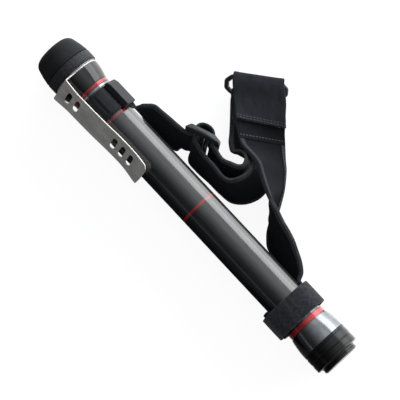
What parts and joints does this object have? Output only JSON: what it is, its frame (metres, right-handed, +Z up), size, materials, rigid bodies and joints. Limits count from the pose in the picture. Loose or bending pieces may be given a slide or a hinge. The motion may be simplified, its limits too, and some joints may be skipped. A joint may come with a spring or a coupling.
{
  "type": "telescopic landing net shaft",
  "caption": "Closed telescopic carbon landing net shaft with a rubber end cap, slotted steel belt clip, screw-off butt cap and a wide webbing shoulder strap.",
  "frame": {"origin": "middle of the butt cap's flat end face, on the pole's axis", "axes": "+X along the pole from the butt to the net end, +Z up from the table it lies on, the strap on the -Y side and the belt clip on the +Y side"},
  "size_m": [0.427, 0.184, 0.0586],
  "materials": {
    "gloss_carbon": "clear lacquer over dark carbon cloth",
    "carbon_section": "ground carbon",
    "black_rubber": "matte",
    "textured_nylon": "fine texture",
    "brushed_steel": "brushed along the blade",
    "black_lacquer": "gloss lacquer",
    "red_anodised": "gloss anodised",
    "silver_anodised": "gloss",
    "black_nylon": "satin",
    "webbing": "woven, bound edges",
    "neoprene": "knit faced, bound edges",
    "label_fabric": "plain",
    "loop_webbing": "brushed loop",
    "black_anodised": "satin anodised, fine rings",
    "insert_aluminium": "turned",
    "cushion_rubber": "matte",
    "white_nylon": "plain",
    "plated_brass": "nickel plated"
  },
  "bodies": {
    "shaft": {"main_tube": "gloss_carbon", "front_cone": "black_lacquer", "front_collar": "textured_nylon", "clip_washer": "white_nylon", "trim_ring_front": "red_anodised", "silver_ring": "silver_anodised", "strap_clamp": "black_nylon", "butt_sleeve": "silver_anodised", "trim_ring_rear": "red_anodised", "butt_insert": "insert_aluminium", "rear_band": "loop_webbing", "band_tab": "loop_webbing", "adjuster_strap": "webbing", "shoulder_strap": "neoprene", "label_patch": "label_fabric", "strap_ring": "black_nylon", "tri_glide": "black_nylon"},
    "stage_2": {"section_2": "carbon_section"},
    "stage_3": {"section_3": "carbon_section"},
    "stage_4": {"section_4": "carbon_section"},
    "stage_5": {"section_5": "carbon_section"},
    "stage_6": {"section_6": "carbon_section"},
    "stage_7": {"section_7": "carbon_section"},
    "stage_8": {"section_8": "carbon_section"},
    "tip": {"section_9": "carbon_section", "net_ferrule": "plated_brass"},
    "cap": {"front_cap": "black_rubber"},
    "clip": {"belt_clip": "brushed_steel"},
    "cushion": {"butt_cushion": "cushion_rubber"},
    "end_cap": {"butt_cap": "black_anodised", "butt_o_ring": "cushion_rubber"}
  },
  "joints": [
    {"name": "section_2_slide", "type": "slide", "parent": "shaft", "child": "stage_2", "axis": [1, 0, 0], "range_m": [0, 0.322]},
    {"name": "section_3_slide", "type": "slide", "parent": "stage_2", "child": "stage_3", "axis": [1, 0, 0], "range_m": [0, 0.322]},
    {"name": "section_4_slide", "type": "slide", "parent": "stage_3", "child": "stage_4", "axis": [1, 0, 0], "range_m": [0, 0.322]},
    {"name": "section_5_slide", "type": "slide", "parent": "stage_4", "child": "stage_5", "axis": [1, 0, 0], "range_m": [0, 0.322]},
    {"name": "section_6_slide", "type": "slide", "parent": "stage_5", "child": "stage_6", "axis": [1, 0, 0], "range_m": [0, 0.322]},
    {"name": "section_7_slide", "type": "slide", "parent": "stage_6", "child": "stage_7", "axis": [1, 0, 0], "range_m": [0, 0.322]},
    {"name": "section_8_slide", "type": "slide", "parent": "stage_7", "child": "stage_8", "axis": [1, 0, 0], "range_m": [0, 0.322]},
    {"name": "section_9_slide", "type": "slide", "parent": "stage_8", "child": "tip", "axis": [1, 0, 0], "range_m": [0, 0.322]},
    {"name": "cap_pull", "type": "slide", "parent": "tip", "child": "cap", "axis": [1, 0, 0], "range_m": [0, 0.03]},
    {"name": "clip_turn", "type": "hinge", "parent": "shaft", "child": "clip", "pos_m": [0.3897, 0, 0], "axis": [1, 0, 0], "range_deg": [-45, 45]},
    {"name": "cushion_slide", "type": "slide", "parent": "shaft", "child": "cushion", "axis": [-1, 0, 0], "range_m": [0, 0.006]},
    {"name": "cap_screw", "type": "hinge", "parent": "cushion", "child": "end_cap", "pos_m": [0, 0, 0], "axis": [-1, 0, 0], "range_deg": [0, 1444]}
  ],
  "couplings": [
    {"joint": "cap_screw", "follows": "cushion_slide", "rad_per_m": 4188.8}
  ]
}
